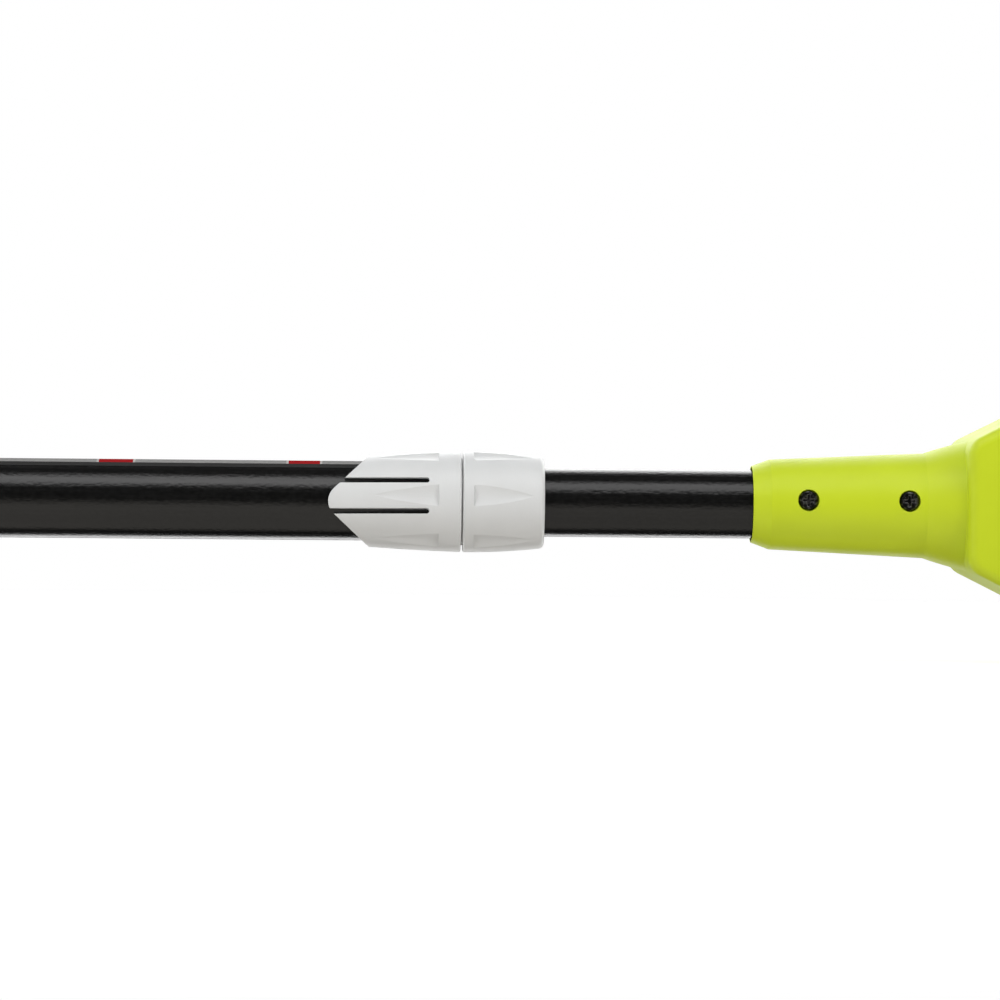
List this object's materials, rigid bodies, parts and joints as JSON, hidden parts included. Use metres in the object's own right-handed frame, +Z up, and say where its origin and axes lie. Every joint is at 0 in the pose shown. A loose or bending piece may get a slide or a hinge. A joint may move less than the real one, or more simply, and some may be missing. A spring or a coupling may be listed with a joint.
{
  "type": "telescoping pole saw",
  "caption": "Battery chain saw on a two-stage pole: rear loop handle with trigger, foregrip, twist-lock collar, sliding inner tube and a saw head with bar, chain and branch hook.",
  "frame": {"origin": "on the pole axis, midway along the bare stretch of the outer tube between foregrip and lock", "axes": "+X along the pole towards the saw head, +Y to the user's left, +Z up"},
  "size_m": [1.5891, 0.106, 0.1175],
  "materials": {
    "pole_black": "satin black paint",
    "grip_rubber": "matt moulded rubber",
    "collar_grey": "satin light grey",
    "bush_white": "natural",
    "case_green": "satin lime green",
    "case_black": "matt black",
    "latch_grey": "satin grey",
    "screw_black": "black oxide",
    "steel": "ground",
    "cutter_chrome": "plated",
    "alloy": "cast",
    "cell_wrap": "wrapped cell, weighed as aluminium",
    "tank_clear": "translucent",
    "contact_brass": "plain",
    "cable_black": "insulation"
  },
  "bodies": {
    "rear_handle": {"outer_tube": "pole_black", "foregrip": "grip_rubber", "lock_sleeve": "collar_grey", "clamp_collet": "bush_white", "handle_left_shell": "case_green", "handle_right_shell": "case_green", "handle_screws": "screw_black", "handle_grip_pad": "grip_rubber", "trigger_pin": "steel", "trigger_switch": "case_black", "battery_rail": "case_black", "battery_contacts": "contact_brass", "power_cable": "cable_black"},
    "lock_nut": {"lock_nut": "collar_grey"},
    "trigger": {"trigger": "case_black"},
    "lock_off_button": {"lock_off_button": "case_black"},
    "battery": {"battery_front_case": "case_black", "battery_rear_case": "case_black", "battery_cells": "cell_wrap"},
    "battery_latch": {"battery_latch": "latch_grey"},
    "inner_pole": {"inner_tube": "pole_black", "slide_bush": "bush_white", "head_left_shell": "case_green", "head_right_shell": "case_green", "head_screws": "screw_black", "gear_plate": "alloy", "motor_can": "steel", "shaft_bearings": "steel", "guide_bar": "steel", "chain_drive_links": "steel", "chain_tie_straps": "steel", "chain_cutters": "cutter_chrome", "sprocket_cover": "case_black", "bar_stud": "steel", "tension_peg": "steel", "oil_tank": "tank_clear", "branch_hook": "case_black"},
    "cover_knob": {"cover_knob": "case_black"},
    "tension_screw": {"tension_screw": "steel"},
    "oil_cap": {"oil_cap": "case_black"},
    "drive_train": {"drive_gear": "steel", "drive_shaft": "steel", "drive_sprocket": "steel"},
    "motor_rotor": {"motor_rotor": "steel", "motor_pinion": "steel"},
    "nose_sprocket": {"nose_sprocket": "steel"}
  },
  "joints": [
    {"name": "pole_slide", "type": "slide", "parent": "rear_handle", "child": "inner_pole", "axis": [1, 0, 0], "range_m": [-0.06, 0.57], "deforming": ["power_cable"]},
    {"name": "lock_nut_turn", "type": "hinge", "parent": "rear_handle", "child": "lock_nut", "pos_m": [0.2109, 0, 0], "axis": [1, 0, 0], "range_deg": [0, 80]},
    {"name": "trigger_pull", "type": "hinge", "parent": "rear_handle", "child": "trigger", "pos_m": [-0.626, 0, 0.005], "axis": [0, 1, 0], "range_deg": [0, 12], "stiffness_Nm_per_rad": 0.8, "springref_deg": -2.86},
    {"name": "lock_off_press", "type": "slide", "parent": "rear_handle", "child": "lock_off_button", "axis": [0, 0, -1], "range_m": [0, 0.003], "stiffness_N_per_m": 500, "springref_m": -0.002},
    {"name": "battery_lift", "type": "slide", "parent": "rear_handle", "child": "battery", "axis": [0, 0, 1], "range_m": [0, 0.1]},
    {"name": "battery_latch_press", "type": "slide", "parent": "battery", "child": "battery_latch", "axis": [0, 0, -1], "range_m": [0, 0.0025], "stiffness_N_per_m": 500, "springref_m": -0.002},
    {"name": "sprocket_spin", "type": "hinge", "parent": "inner_pole", "child": "drive_train", "pos_m": [0.47543, -0.03, 0], "axis": [0, 1, 0], "continuous": true},
    {"name": "rotor_spin", "type": "hinge", "parent": "inner_pole", "child": "motor_rotor", "pos_m": [0.4486, 0, 0.008], "axis": [0, 1, 0], "continuous": true},
    {"name": "nose_spin", "type": "hinge", "parent": "inner_pole", "child": "nose_sprocket", "pos_m": [0.73173, -0.03, 0], "axis": [0, 1, 0], "continuous": true},
    {"name": "cover_knob_turn", "type": "hinge", "parent": "inner_pole", "child": "cover_knob", "pos_m": [0.52663, -0.044, 0], "axis": [0, 1, 0], "continuous": true},
    {"name": "tension_screw_turn", "type": "hinge", "parent": "inner_pole", "child": "tension_screw", "pos_m": [0.51663, -0.0252, -0.009], "axis": [1, 0, 0], "continuous": true},
    {"name": "oil_cap_turn", "type": "hinge", "parent": "inner_pole", "child": "oil_cap", "pos_m": [0.52463, 0.026, 0.04], "axis": [0, 0, 1], "range_deg": [0, 120]}
  ],
  "couplings": [
    {"joint": "rotor_spin", "follows": "sprocket_spin", "ratio": -3},
    {"joint": "nose_spin", "follows": "sprocket_spin", "ratio": 0.66667}
  ]
}
